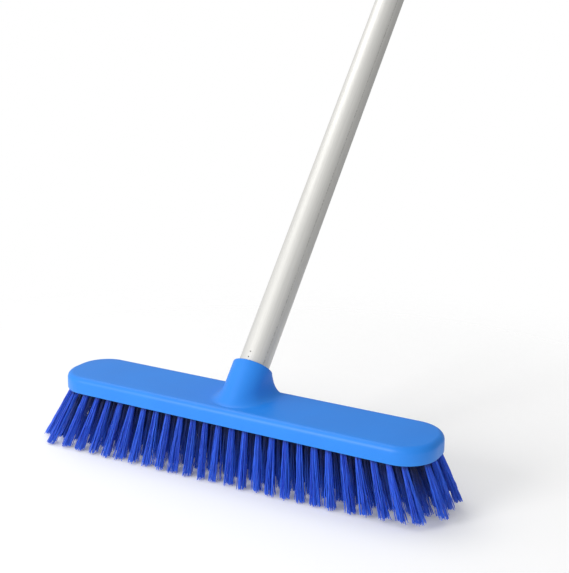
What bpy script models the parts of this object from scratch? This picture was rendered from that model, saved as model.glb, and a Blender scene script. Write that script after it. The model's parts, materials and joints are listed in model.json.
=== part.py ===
"""Deck scrub brush: moulded block with a tilted screw socket, tufted bristles and a screw-in pole.

Frame: origin at the centre of the block's underside, +X along the block, +Y the way the pole
leans, +Z up. Everything on the pole is drawn in the pole's own frame (T runs up the pole, zero
where its axis leaves the block's top) and hangs on the empty pole_axis.
"""
import math

import bmesh
import bpy
from mathutils import Matrix, Vector

# Brush block
HEAD_LENGTH = 0.400
HEAD_WIDTH = 0.072
BLOCK_HEIGHT = 0.0163
TOP_EDGE_RADIUS = 0.006
TOP_EDGE_STEPS = 4
END_STRAIGHT = 0.009          # straight stretch in the middle of each rounded end
CORNER_STEPS = 9              # straight pieces in each rounded corner of the plan

# Tuft pattern
COLUMN_COUNT = 28
ROW_COUNT = 5
END_MARGIN = 0.007            # end column's centre line to the block's end
EDGE_MARGIN = 0.0074          # outer row's centre line to the block's long edge
HOLE_EDGE_MIN = 0.0036        # least distance from a hole's centre to the block's outline
TRIM_LENGTH = 0.055           # underside to the trimmed tips
TUFT_ROOT_RADIUS = 0.0025
TUFT_TIP_RADIUS = 0.0053      # half width of a splayed tip along the block
TUFT_TIP_MERGE = 0.001        # how far neighbouring tips in a column run into each other
HOLE_ROOF = 0.0058            # block left above the tuft holes
HOLE_CLEARANCE = 0.0003
FAN_LINEAR = 0.159            # lean of the columns along the block, in radians at its ends
FAN_CUBIC = 0.312
ROW_LEAN = 0.168              # lean of the outer rows across the block, in radians
TUFT_SIDES = 6

# Socket
TILT = math.radians(40.5)     # pole's lean from the vertical
SOCKET_WALL = 0.00415
SOCKET_LENGTH = 0.0324        # along the pole's axis, from the block's top to the rim
SOCKET_LIP = 0.0035           # straight part kept under the rim
SOCKET_SETBACK = 0.0005       # socket's back face to the block's long edge
SOCKET_DRAFT = math.radians(8)  # outward slope of the upright back wall
SOCKET_TURN = 0.35            # how gently the tilted front wall becomes upright, as a sine
FILLET_UP = {"side": 0.018, "back": 0.016, "front": 0.009}
FILLET_OUT = {"side": 0.011, "back": 0.009, "front": 0.0045}
FILLET_FADE = 0.003           # room to the top edge at which the fillet starts to shrink
FILLET_RUN = 0.002            # straight run above and below the corner where there is no fillet
SOCKET_SIDES = 40
FILLET_STEPS = 6
SOCKET_ROOT = 0.0062          # how far the socket's body reaches into the block
FILLET_SINK = 0.0002          # how far the fillet's foot dips under the block's top
COUNTERBORE_FLOOR = 0.0224
COUNTERBORE_TURN = math.radians(5)  # keeps its facets' corners off the thread's
BORE_BOTTOM = 0.0052
CUT_OVERRUN = 0.001           # how far a cut runs past the surface it opens
WELD_DISTANCE = 0.00001       # points nearer than this are one point

# Screw thread, right-handed and rounded
THREAD_LEAD = 0.005
THREAD_RADIUS = 0.0103        # mean radius on the plug
THREAD_AMPLITUDE = 0.0007
THREAD_CLEARANCE = 0.00045
THREAD_RUNOUT = 0.0025
THREAD_SIDES = 24
THREAD_RINGS_PER_TURN = 8
THREAD_END_GAP = 0.0008       # plug's end to the bore's bottom
THREAD_TOP_GAP = 0.0004       # thread's upper end to the counterbore's floor

# Pole and what is fitted to it
POLE_RADIUS = 0.015
POLE_WALL = 0.0012
POLE_LENGTH = 1.200
POLE_CLEARANCE = 0.0006       # pole to counterbore
JOINT_GAP = 0.0003            # between pieces that touch
FLANGE_THICKNESS = 0.0015
WASHER_THICKNESS = 0.0015
NECK_UNDERCUT = 0.0001        # neck below the thread's root
NECK_OVERLAP = 0.0011         # how far the neck runs into the thread
WASHER_CLEARANCE = 0.0005     # washer's bore round the neck
SPIGOT_LENGTH = 0.028
SPIGOT_LEAD = (0.001, 0.002)  # lead-in chamfer, across and along
PUNCH_RADIUS = 0.0009
PUNCH_HEIGHT = 0.004          # rim to the first punched dent
PUNCH_SPACING = 0.0056
GRIP_LENGTH = 0.130
GRIP_WALL = 0.0022
GRIP_SETBACK = 0.006          # pole's top to the sleeve's top
GRIP_RIBS = 5
GRIP_RIB_HEIGHT = 0.0006
GRIP_RIB_FOOT = 0.3           # half a rib's foot and half its top, as shares of the ribs' pitch
GRIP_RIB_TOP = 0.2
GRIP_END_BREAK = (0.001, 0.002)  # rounded-off ends of the sleeve, across and along
CAP_FLANGE = 0.0035
CAP_DOME = 0.006
CAP_DOME_SHAPE = ((0.55, 0.12), (0.85, 0.45))  # share of the radius, share of the dome's drop
EYE_THICKNESS = 0.007
EYE_WIDTH = 0.020
EYE_HOLE_RADIUS = 0.0055
EYE_REACH = 0.018             # dome's top to the eye's outer end
EYE_ROOT = 0.001              # eye's lower end above the cap's base

TUFT_PITCH = (HEAD_LENGTH - 2 * END_MARGIN) / (COLUMN_COUNT - 1)
ROW_PITCH = (HEAD_WIDTH - 2 * EDGE_MARGIN) / (ROW_COUNT - 1)
HALF_ROWS = (ROW_COUNT - 1) // 2
TIP_ROW_SPACING = ROW_PITCH + TRIM_LENGTH * (
    math.tan(ROW_LEAN) - math.tan(ROW_LEAN * (HALF_ROWS - 1) / HALF_ROWS))
TUFT_DEPTH = BLOCK_HEIGHT - HOLE_ROOF - HOLE_CLEARANCE
END_RADIUS = (HEAD_WIDTH - END_STRAIGHT) / 2
SOCKET_RADIUS = POLE_RADIUS + POLE_CLEARANCE + SOCKET_WALL
COUNTERBORE_RADIUS = POLE_RADIUS + POLE_CLEARANCE
SPIGOT_RADIUS = POLE_RADIUS - POLE_WALL - JOINT_GAP
NECK_RADIUS = THREAD_RADIUS - THREAD_AMPLITUDE - NECK_UNDERCUT
THREAD_BOTTOM = BORE_BOTTOM + THREAD_END_GAP
THREAD_TOP = COUNTERBORE_FLOOR - THREAD_TOP_GAP
WASHER_BOTTOM = COUNTERBORE_FLOOR + JOINT_GAP
FLANGE_BOTTOM = WASHER_BOTTOM + WASHER_THICKNESS + JOINT_GAP
POLE_BOTTOM = FLANGE_BOTTOM + FLANGE_THICKNESS + JOINT_GAP
POLE_TOP = POLE_BOTTOM + POLE_LENGTH

for old in list(bpy.data.objects):
    bpy.data.objects.remove(old, do_unlink=True)

parts = bpy.data.collections.new("deck_brush")
cutters = bpy.data.collections.new("cutters")
bpy.context.scene.collection.children.link(parts)
bpy.context.scene.collection.children.link(cutters)

pole_axis = bpy.data.objects.new("pole_axis", None)
pole_axis.location = (0, 0, BLOCK_HEIGHT)
pole_axis.rotation_euler = (-TILT, 0, 0)
parts.objects.link(pole_axis)
POLE_FRAME = Matrix.Translation((0, 0, BLOCK_HEIGHT)) @ Matrix.Rotation(-TILT, 4, "X")


def material(name, color, roughness, metallic=0.0):
    """A plain Principled material."""
    made = bpy.data.materials.new(name)
    made.use_nodes = True
    shader = made.node_tree.nodes["Principled BSDF"]
    shader.inputs["Base Color"].default_value = (*color, 1.0)
    shader.inputs["Roughness"].default_value = roughness
    shader.inputs["Metallic"].default_value = metallic
    return made


def add_object(name, mesh, finish, parent=None):
    """Link a mesh as a part, with its material."""
    made = bpy.data.objects.new(name, mesh)
    parts.objects.link(made)
    mesh.materials.append(finish)
    made.parent = parent
    return made


def add_cutter(name, mesh, parent=None):
    """Link a mesh as a helper that only cuts or joins."""
    made = bpy.data.objects.new(name, mesh)
    cutters.objects.link(made)
    made.hide_render = True
    made.display_type = "WIRE"
    made.parent = parent
    return made


def combine(target, operand, operation):
    """Boolean the operand into the target."""
    step = target.modifiers.new(operation.lower() + "_" + operand.name, "BOOLEAN")
    step.object = operand
    step.operation = operation
    step.solver = "EXACT"


def loft_into(mesh_builder, rings):
    """Skin a stack of equal-count rings, listed top to bottom and anticlockwise from above."""
    rows = [[mesh_builder.verts.new(point) for point in ring] for ring in rings]
    count = len(rows[0])
    for upper, lower in zip(rows, rows[1:]):
        for i in range(count):
            j = (i + 1) % count
            mesh_builder.faces.new((upper[i], lower[i], lower[j], upper[j]))
    mesh_builder.faces.new(rows[0])
    mesh_builder.faces.new(list(reversed(rows[-1])))


def loft_mesh(name, stacks):
    """A mesh of one or more closed lofts."""
    builder = bmesh.new()
    for rings in stacks:
        loft_into(builder, rings)
    mesh = bpy.data.meshes.new(name)
    builder.to_mesh(mesh)
    builder.free()
    return mesh


def turned(name, profile, closed, steps, owner, finish=None, parent=None):
    """Turn a profile of (radius, height) points, outer side first and downwards, about Z."""
    mesh = bpy.data.meshes.new(name)
    edges = [(i, i + 1) for i in range(len(profile) - 1)]
    if closed:
        edges.append((len(profile) - 1, 0))
    mesh.from_pydata([(radius, 0, height) for radius, height in profile], edges, [])
    made = owner(name, mesh, finish, parent) if finish else owner(name, mesh, parent)
    screw = made.modifiers.new("turn", "SCREW")
    screw.axis = "Z"
    screw.steps = steps
    screw.render_steps = steps
    screw.use_merge_vertices = True
    screw.merge_threshold = WELD_DISTANCE
    screw.use_smooth_shade = True
    return made


def shade_round(mesh):
    """Smooth shading with crisp corners."""
    mesh.shade_smooth()
    mesh.set_sharp_from_angle(angle=math.radians(35))


block_blue = material("polypropylene_block_blue", (0.045, 0.27, 0.78), 0.42)
bristle_blue = material("polypropylene_bristle_blue", (0.02, 0.06, 0.5), 0.45)
aluminium = material("satin_aluminium", (0.72, 0.72, 0.70), 0.38, 1.0)
plug_white = material("polypropylene_plug_white", (0.75, 0.76, 0.78), 0.5)
rubber_black = material("washer_rubber_black", (0.02, 0.02, 0.022), 0.75)
grip_blue = material("grip_plastic_blue", (0.03, 0.2, 0.66), 0.5)


# Tuft positions and leans

def outline_distance(x, y):
    """Distance from a point inside the block's plan to its outline."""
    from_corner_x = abs(x) - (HEAD_LENGTH / 2 - END_RADIUS)
    from_corner_y = abs(y) - (HEAD_WIDTH / 2 - END_RADIUS)
    if from_corner_x > 0 and from_corner_y > 0:
        return END_RADIUS - math.hypot(from_corner_x, from_corner_y)
    return END_RADIUS - max(from_corner_x, from_corner_y)


def column_tufts(column):
    """The tufts of one column, as (row offset, x, y, slope along the block, slope across it)."""
    x = (column - (COLUMN_COUNT - 1) / 2) * TUFT_PITCH
    share = x / (HEAD_LENGTH / 2)
    slope_x = math.tan(FAN_LINEAR * share + FAN_CUBIC * share ** 3)
    tufts = []
    for row in range(ROW_COUNT):
        offset = row - HALF_ROWS
        y = offset * ROW_PITCH
        if outline_distance(x, y) >= HOLE_EDGE_MIN:
            slope_y = math.tan(ROW_LEAN * offset / HALF_ROWS)
            tufts.append((offset, x, y, slope_x, slope_y))
    return tufts


def tuft_ring(tuft, height, radius_x, radius_y):
    """A level ring round the tuft's leaning axis, at a height above the underside."""
    _, x, y, slope_x, slope_y = tuft
    ring = []
    for i in range(TUFT_SIDES):
        angle = 2 * math.pi * i / TUFT_SIDES
        ring.append(Vector((x - slope_x * height + radius_x * math.cos(angle),
                            y - slope_y * height + radius_y * math.sin(angle), height)))
    return ring


def tuft_rings(tuft):
    """One tuft: straight in its hole, then splaying to its trimmed tips."""
    root = TUFT_ROOT_RADIUS
    tip_across = (TIP_ROW_SPACING / 2 + TUFT_TIP_MERGE) / math.cos(math.pi / TUFT_SIDES)
    return [tuft_ring(tuft, TUFT_DEPTH, root, root),
            tuft_ring(tuft, 0.0, root, root),
            tuft_ring(tuft, -TRIM_LENGTH, TUFT_TIP_RADIUS, tip_across)]


def hole_rings(tuft):
    """The hole that one tuft stands in."""
    radius = TUFT_ROOT_RADIUS + HOLE_CLEARANCE
    return [tuft_ring(tuft, TUFT_DEPTH + HOLE_CLEARANCE, radius, radius),
            tuft_ring(tuft, -CUT_OVERRUN, radius, radius)]


# Brush block: outline, rounded top edge, socket, bore and tuft holes

def block_outline():
    """Points round the block's plan, anticlockwise."""
    points = []
    for quarter in range(4):
        sign_x = 1 if quarter in (0, 3) else -1
        sign_y = 1 if quarter in (0, 1) else -1
        centre_x = sign_x * (HEAD_LENGTH / 2 - END_RADIUS)
        centre_y = sign_y * (HEAD_WIDTH / 2 - END_RADIUS)
        for i in range(CORNER_STEPS + 1):
            angle = math.pi / 2 * (quarter + i / CORNER_STEPS)
            points.append((centre_x + END_RADIUS * math.cos(angle),
                           centre_y + END_RADIUS * math.sin(angle)))
    return points


def block_body():
    """The block's plan as a filled curve, made a mesh, with its top edge rounded."""
    outline = block_outline()
    curve = bpy.data.curves.new("block_plan", "CURVE")
    curve.dimensions = "2D"
    curve.fill_mode = "BOTH"
    curve.extrude = BLOCK_HEIGHT / 2
    spline = curve.splines.new("POLY")
    spline.points.add(len(outline) - 1)
    for point, (x, y) in zip(spline.points, outline):
        point.co = (x, y, 0, 1)
    spline.use_cyclic_u = True
    holder = bpy.data.objects.new("block_plan", curve)
    parts.objects.link(holder)
    bpy.context.view_layer.update()
    graph = bpy.context.evaluated_depsgraph_get()
    mesh = bpy.data.meshes.new_from_object(holder.evaluated_get(graph))
    bpy.data.objects.remove(holder, do_unlink=True)
    builder = bmesh.new()
    builder.from_mesh(mesh)
    bmesh.ops.translate(builder, vec=(0, 0, BLOCK_HEIGHT / 2), verts=builder.verts)
    bmesh.ops.remove_doubles(builder, verts=builder.verts, dist=WELD_DISTANCE)
    bmesh.ops.dissolve_limit(builder, angle_limit=0.01, verts=builder.verts, edges=builder.edges)
    bmesh.ops.recalc_face_normals(builder, faces=builder.faces)
    rim = []
    for edge in builder.edges:
        level = all(abs(vert.co.z - BLOCK_HEIGHT) < 0.0001 for vert in edge.verts)
        if level and len(edge.link_faces) == 2 and edge.calc_face_angle() > 0.5:
            rim.append(edge)
    bmesh.ops.bevel(builder, geom=rim, offset=TOP_EDGE_RADIUS, segments=TOP_EDGE_STEPS,
                    profile=0.5, affect="EDGES")
    builder.to_mesh(mesh)
    builder.free()
    return mesh


def smooth_step(share):
    """A share held between 0 and 1, easing at both ends."""
    held = min(max(share, 0.0), 1.0)
    return held * held * (3 - 2 * held)


def blend(values, angle):
    """Mix the side, back and front values round the socket; back is at a quarter turn."""
    end = values["back"] if math.sin(angle) > 0 else values["front"]
    return values["side"] * math.cos(angle) ** 2 + end * math.sin(angle) ** 2


def socket_column(angle):
    """The socket's rim, fillet start, corner with the block's top and fillet foot at an angle.

    The front wall follows the pole's tilt. The back wall stands nearly upright under the rim,
    so that the mould can open straight up.
    """
    flat_half = HEAD_WIDTH / 2 - TOP_EDGE_RADIUS
    sine = math.sin(angle)
    rim = POLE_FRAME @ Vector((SOCKET_RADIUS * math.cos(angle), SOCKET_RADIUS * sine,
                               SOCKET_LENGTH))
    rise = rim.z - BLOCK_HEIGHT
    upright = smooth_step(0.5 + sine / (2 * SOCKET_TURN))
    squash = upright / math.cos(TILT) + (1 - upright) * math.cos(TILT)
    out = Vector((math.cos(angle), sine * squash, 0)).normalized()
    corner = Vector((rim.x, rim.y - (1 - upright) * math.tan(TILT) * rise, BLOCK_HEIGHT))
    corner += out * math.tan(SOCKET_DRAFT) * rise * upright
    corner.y = min(corner.y, HEAD_WIDTH / 2 - SOCKET_SETBACK)
    fade = smooth_step((flat_half - abs(corner.y)) / FILLET_FADE)
    wall = rim - corner
    up = min(blend(FILLET_UP, angle), wall.length - SOCKET_LIP) * fade
    foot = corner + out * blend(FILLET_OUT, angle) * fade
    foot.y = math.copysign(min(abs(foot.y), max(flat_half, abs(corner.y))), foot.y)
    foot.z -= FILLET_RUN * (1 - fade)
    return rim, corner + wall.normalized() * max(up, FILLET_RUN), corner, foot


def socket_rings():
    """The socket from its rim down through the fillet and into the block."""
    rings = [[] for _ in range(FILLET_STEPS + 3)]
    for i in range(SOCKET_SIDES):
        rim, start, corner, foot = socket_column(2 * math.pi * i / SOCKET_SIDES)
        rings[0].append(rim)
        for k in range(FILLET_STEPS + 1):
            s = k / FILLET_STEPS
            point = (1 - s) ** 2 * start + 2 * s * (1 - s) * corner + s ** 2 * foot
            rings[k + 1].append(point - Vector((0, 0, FILLET_SINK * s)))
        rings[-1].append(foot - Vector((0, 0, SOCKET_ROOT)))
    return rings


def thread_rings(bottom, top, mean_radius, runout):
    """Rings of a rounded right-hand thread in the pole's frame, top to bottom."""
    spacing = THREAD_LEAD / THREAD_RINGS_PER_TURN
    count = math.ceil((top - bottom) / spacing)
    rings = []
    for k in range(count + 1):
        height = top - (top - bottom) * k / count
        strength = 1.0
        if runout:
            from_end = min(height - bottom, top - height) / runout
            strength = min(max(from_end, 0.0), 1.0)
        ring = []
        for i in range(THREAD_SIDES):
            angle = 2 * math.pi * i / THREAD_SIDES
            wave = math.cos(2 * math.pi * height / THREAD_LEAD - angle)
            radius = mean_radius - THREAD_AMPLITUDE + THREAD_AMPLITUDE * (1 + wave) * strength
            ring.append(Vector((radius * math.cos(angle), radius * math.sin(angle), height)))
        rings.append(ring)
    return rings


brush_block = add_object("brush_block", block_body(), block_blue)
socket_boss = add_cutter("socket_boss", loft_mesh("socket_boss", [socket_rings()]))
combine(brush_block, socket_boss, "UNION")
counterbore = turned("counterbore", [(0, SOCKET_LENGTH + CUT_OVERRUN),
                                     (COUNTERBORE_RADIUS, SOCKET_LENGTH + CUT_OVERRUN),
                                     (COUNTERBORE_RADIUS, COUNTERBORE_FLOOR),
                                     (0, COUNTERBORE_FLOOR)], False, 32, add_cutter,
                     parent=pole_axis)
counterbore.rotation_euler.z = COUNTERBORE_TURN
combine(brush_block, counterbore, "DIFFERENCE")
socket_thread = thread_rings(BORE_BOTTOM, COUNTERBORE_FLOOR + CUT_OVERRUN,
                             THREAD_RADIUS + THREAD_CLEARANCE, 0)
threaded_bore = add_cutter("threaded_bore", loft_mesh("threaded_bore", [socket_thread]), pole_axis)
combine(brush_block, threaded_bore, "DIFFERENCE")

all_tufts = [column_tufts(column) for column in range(COLUMN_COUNT)]
hole_stacks = [hole_rings(tuft) for tufts in all_tufts for tuft in tufts]
tuft_holes = add_cutter("tuft_holes", loft_mesh("tuft_holes", hole_stacks))
combine(brush_block, tuft_holes, "DIFFERENCE")

# Tuft columns: every other tuft is one operand, and the ones between are joined to it
for number, tufts in enumerate(all_tufts, start=1):
    label = "tuft_column_%02d" % number
    even = [tuft_rings(tuft) for tuft in tufts if tuft[0] % 2 == 0]
    odd = [tuft_rings(tuft) for tuft in tufts if tuft[0] % 2 != 0]
    column = add_object(label, loft_mesh(label, even), bristle_blue)
    between = add_cutter(label + "_between", loft_mesh(label + "_between", odd))
    combine(column, between, "UNION")

# Threaded plug: spigot in the pole, flange, neck and the rounded thread
plug_profile = [(0, POLE_BOTTOM + SPIGOT_LENGTH),
                (SPIGOT_RADIUS - SPIGOT_LEAD[0], POLE_BOTTOM + SPIGOT_LENGTH),
                (SPIGOT_RADIUS, POLE_BOTTOM + SPIGOT_LENGTH - SPIGOT_LEAD[1]),
                (SPIGOT_RADIUS, POLE_BOTTOM - JOINT_GAP),
                (POLE_RADIUS, POLE_BOTTOM - JOINT_GAP),
                (POLE_RADIUS, FLANGE_BOTTOM),
                (NECK_RADIUS, FLANGE_BOTTOM),
                (NECK_RADIUS, THREAD_TOP - NECK_OVERLAP),
                (0, THREAD_TOP - NECK_OVERLAP)]
thread_plug = turned("thread_plug", plug_profile, False, THREAD_SIDES, add_object,
                     plug_white, pole_axis)
plug_thread = thread_rings(THREAD_BOTTOM, THREAD_TOP, THREAD_RADIUS, THREAD_RUNOUT)
thread_body = add_cutter("thread_body", loft_mesh("thread_body", [plug_thread]), pole_axis)
combine(thread_plug, thread_body, "UNION")

# Sealing washer: captive on the neck, above the counterbore's floor
turned("seal_washer", [(POLE_RADIUS, WASHER_BOTTOM + WASHER_THICKNESS),
                       (POLE_RADIUS, WASHER_BOTTOM),
                       (NECK_RADIUS + WASHER_CLEARANCE, WASHER_BOTTOM),
                       (NECK_RADIUS + WASHER_CLEARANCE, WASHER_BOTTOM + WASHER_THICKNESS)],
       True, 32, add_object, rubber_black, pole_axis)

# Pole: thin tube with two punched dents over the plug's spigot
pole_tube = turned("pole_tube", [(POLE_RADIUS, POLE_TOP), (POLE_RADIUS, POLE_BOTTOM),
                                 (POLE_RADIUS - POLE_WALL, POLE_BOTTOM),
                                 (POLE_RADIUS - POLE_WALL, POLE_TOP)],
                   True, 32, add_object, aluminium, pole_axis)


def punch_holes():
    """Two short pins through the pole's front wall."""
    builder = bmesh.new()
    for k in range(2):
        height = SOCKET_LENGTH + PUNCH_HEIGHT + k * PUNCH_SPACING
        place = Matrix.Translation((0, -POLE_RADIUS, height)) @ Matrix.Rotation(math.pi / 2, 4, "X")
        bmesh.ops.create_cone(builder, cap_ends=True, segments=8, radius1=PUNCH_RADIUS,
                              radius2=PUNCH_RADIUS, depth=POLE_WALL * 4, matrix=place)
    mesh = bpy.data.meshes.new("punch_holes")
    builder.to_mesh(mesh)
    builder.free()
    return mesh


combine(pole_tube, add_cutter("punch_holes", punch_holes(), pole_axis), "DIFFERENCE")


# Grip sleeve: moulded sleeve with broad ribs

def grip_profile():
    """Outer side with its ribs, top to bottom, then back up the bore."""
    inner = POLE_RADIUS + JOINT_GAP
    outer = inner + GRIP_WALL
    top = POLE_TOP - GRIP_SETBACK
    bottom = top - GRIP_LENGTH
    pitch = GRIP_LENGTH / (GRIP_RIBS + 1)
    across, along = GRIP_END_BREAK
    points = [(outer - across, top), (outer, top - along)]
    for k in range(GRIP_RIBS):
        middle = top - pitch * (k + 1)
        half_foot = pitch * GRIP_RIB_FOOT
        half_top = pitch * GRIP_RIB_TOP
        points += [(outer, middle + half_foot), (outer + GRIP_RIB_HEIGHT, middle + half_top),
                   (outer + GRIP_RIB_HEIGHT, middle - half_top), (outer, middle - half_foot)]
    points += [(outer, bottom + along), (outer - across, bottom), (inner, bottom), (inner, top)]
    return points


turned("grip_sleeve", grip_profile(), True, 24, add_object, grip_blue, pole_axis)

# Hanging cap: spigot in the pole's top, flange, dome and a flat eye
cap_flange_radius = POLE_RADIUS + JOINT_GAP + GRIP_WALL
cap_base = POLE_TOP + JOINT_GAP
cap_top = cap_base + CAP_FLANGE + CAP_DOME
cap_profile = [(0, cap_top)]
cap_profile += [(cap_flange_radius * across, cap_top - CAP_DOME * drop)
                for across, drop in CAP_DOME_SHAPE]
cap_profile += [(cap_flange_radius, cap_top - CAP_DOME),
                (cap_flange_radius, cap_base),
                (SPIGOT_RADIUS, cap_base),
                (SPIGOT_RADIUS, cap_base - SPIGOT_LENGTH),
                (0, cap_base - SPIGOT_LENGTH)]
hanging_cap = turned("hanging_cap", cap_profile, False, 24, add_object, grip_blue, pole_axis)


def eye_plate():
    """Flat eye in the pole's YZ plane, with its hole across X."""
    centre = cap_top + EYE_REACH - EYE_WIDTH / 2
    half = EYE_WIDTH / 2
    outer = [(half, cap_base + EYE_ROOT)]
    outer += [(half * math.cos(math.pi * i / 12), centre + half * math.sin(math.pi * i / 12))
              for i in range(13)]
    outer.append((-half, cap_base + EYE_ROOT))
    hole = [(EYE_HOLE_RADIUS * math.cos(math.pi * i / 8),
             centre + EYE_HOLE_RADIUS * math.sin(math.pi * i / 8)) for i in range(16)]
    curve = bpy.data.curves.new("eye_plate", "CURVE")
    curve.dimensions = "2D"
    curve.fill_mode = "BOTH"
    curve.extrude = EYE_THICKNESS / 2
    for points in (outer, hole):
        spline = curve.splines.new("POLY")
        spline.points.add(len(points) - 1)
        for point, (x, y) in zip(spline.points, points):
            point.co = (x, y, 0, 1)
        spline.use_cyclic_u = True
    holder = bpy.data.objects.new("eye_plate", curve)
    cutters.objects.link(holder)
    bpy.context.view_layer.update()
    graph = bpy.context.evaluated_depsgraph_get()
    mesh = bpy.data.meshes.new_from_object(holder.evaluated_get(graph))
    bpy.data.objects.remove(holder, do_unlink=True)
    builder = bmesh.new()
    builder.from_mesh(mesh)
    bmesh.ops.remove_doubles(builder, verts=builder.verts, dist=WELD_DISTANCE)
    bmesh.ops.recalc_face_normals(builder, faces=builder.faces)
    upright = Matrix(((0, 0, 1), (1, 0, 0), (0, 1, 0)))
    bmesh.ops.rotate(builder, cent=(0, 0, 0), matrix=upright, verts=builder.verts)
    builder.to_mesh(mesh)
    builder.free()
    return mesh


combine(hanging_cap, add_cutter("eye_plate", eye_plate(), pole_axis), "UNION")

bpy.context.view_layer.update()
for part in parts.objects:
    if part.type == "MESH":
        shade_round(part.data)
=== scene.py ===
import json
import math

import bmesh
import bpy
from mathutils import Matrix, Vector


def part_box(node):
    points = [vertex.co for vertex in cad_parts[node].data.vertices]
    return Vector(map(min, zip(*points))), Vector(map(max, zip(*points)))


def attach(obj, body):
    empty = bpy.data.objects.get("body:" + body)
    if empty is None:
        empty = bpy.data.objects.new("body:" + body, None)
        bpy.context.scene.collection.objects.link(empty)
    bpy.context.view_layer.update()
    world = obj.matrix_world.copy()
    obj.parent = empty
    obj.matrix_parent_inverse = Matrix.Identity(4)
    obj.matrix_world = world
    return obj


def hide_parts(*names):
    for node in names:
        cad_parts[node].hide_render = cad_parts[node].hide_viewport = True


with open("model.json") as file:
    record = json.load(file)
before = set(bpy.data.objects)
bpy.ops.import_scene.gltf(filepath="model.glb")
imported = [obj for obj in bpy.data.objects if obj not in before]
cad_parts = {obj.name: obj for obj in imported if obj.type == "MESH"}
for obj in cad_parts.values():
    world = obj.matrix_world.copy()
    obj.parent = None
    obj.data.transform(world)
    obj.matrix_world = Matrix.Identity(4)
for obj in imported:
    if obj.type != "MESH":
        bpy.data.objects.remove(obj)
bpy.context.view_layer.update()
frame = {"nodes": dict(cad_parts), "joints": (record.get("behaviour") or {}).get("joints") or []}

# ---------------------------------------------------------------------------------------------
# Brush block. One heavy injection moulding in satin polypropylene: a long bar with round ends
# and a rolled top edge, and the pole's socket moulded on top at a tilt, run into the bar with a
# soft fillet. The socket is cored out and threaded, and the underside is drilled for the tufts.
# ---------------------------------------------------------------------------------------------

block_low, block_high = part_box("brush_block")
HEAD_LENGTH = block_high.x - block_low.x
HEAD_WIDTH = -2 * block_low.y
BLOCK_HEIGHT = 0.0163
END_STRAIGHT = 0.009                # straight stretch in the middle of each rounded end
END_RADIUS = (HEAD_WIDTH - END_STRAIGHT) / 2
TOP_EDGE_RADIUS = 0.006
BOTTOM_EDGE_RADIUS = 0.0007
SIDE_DRAFT = 0.012                  # inward lean of the sides, as a slope

hinge = next(joint for joint in frame["joints"] if joint["type"] == "hinge")
pole_direction = Vector(hinge["axis"]).normalized()
TILT = math.atan2(pole_direction.y, pole_direction.z)
POLE_FRAME = Matrix.Translation(hinge["pos_m"]) @ Matrix.Rotation(-TILT, 4, "X")

SOCKET_RADIUS = 0.01975
SOCKET_LENGTH = 0.0324              # from the block's top to the rim, along the pole
SOCKET_LIP = 0.0035                 # straight wall kept under the rim
SOCKET_SETBACK = 0.0005             # socket's back face to the block's long edge
SOCKET_DRAFT = math.radians(8)      # outward slope of the upright back wall
SOCKET_TURN = 0.35                  # how gently the tilted front wall becomes upright, as a sine
RIM_ROUND = 0.0016
FILLET_UP = {"side": 0.018, "back": 0.016, "front": 0.009}
FILLET_OUT = {"side": 0.011, "back": 0.009, "front": 0.0045}
FILLET_FADE = 0.003                 # room to the top edge at which the fillet starts to shrink
FILLET_RUN = 0.002                  # straight run over the corner where there is no fillet
FOOT_SHARE = 0.8                    # most of the room to the top edge that the fillet may take
EDGE_SOFTNESS = 0.0008              # how gently the socket's foot meets its setback
COUNTERBORE_RADIUS = 0.0156
COUNTERBORE_FLOOR = 0.0224
BORE_BOTTOM = 0.0052
MOUTH_BREAK = 0.0004                # chamfer round the counterbore's mouth
CUT_OVERRUN = 0.005                 # how far the counterbore's core runs past the rim

THREAD_LEAD = 0.005
THREAD_RADIUS = 0.0103
THREAD_AMPLITUDE = 0.0007
THREAD_CLEARANCE = 0.00045
THREAD_RINGS = 16                   # rings in each turn of the thread
CORE_OVERRUN = 0.0006               # how far the thread's core runs into the counterbore

COLUMNS = 28
ROWS = 5
END_MARGIN = 0.007
EDGE_MARGIN = 0.0074
HOLE_EDGE_MIN = 0.0036
HOLE_RADIUS = 0.0028
HOLE_DEPTH = 0.0105
HOLE_SIDES = 14
DRILL_OVERRUN = 0.001
COLUMN_PITCH = (HEAD_LENGTH - 2 * END_MARGIN) / (COLUMNS - 1)
ROW_PITCH = (HEAD_WIDTH - 2 * EDGE_MARGIN) / (ROWS - 1)
FAN_LINEAR = 0.159                  # lean of the columns along the block, in radians at its ends
FAN_CUBIC = 0.312
ROW_LEAN = 0.168                    # lean of the outer rows across the block, in radians


def outline_distance(x, y):
    """How far a point of the block's plan is inside its outline."""
    corner_x = abs(x) - (HEAD_LENGTH / 2 - END_RADIUS)
    corner_y = abs(y) - (HEAD_WIDTH / 2 - END_RADIUS)
    if corner_x > 0 and corner_y > 0:
        return END_RADIUS - math.hypot(corner_x, corner_y)
    return END_RADIUS - max(corner_x, corner_y)


def tufts_of_column(column):
    """The column's tufts: centre of each hole's mouth and the slopes of its axis."""
    x = (column - (COLUMNS - 1) / 2) * COLUMN_PITCH
    share = x / (HEAD_LENGTH / 2)
    slope_x = math.tan(FAN_LINEAR * share + FAN_CUBIC * share ** 3)
    half_rows = (ROWS - 1) // 2
    found = []
    for row in range(-half_rows, half_rows + 1):
        y = row * ROW_PITCH
        if outline_distance(x, y) >= HOLE_EDGE_MIN:
            found.append((Vector((x, y, 0)), slope_x, math.tan(ROW_LEAN * row / half_rows)))
    return found


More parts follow.
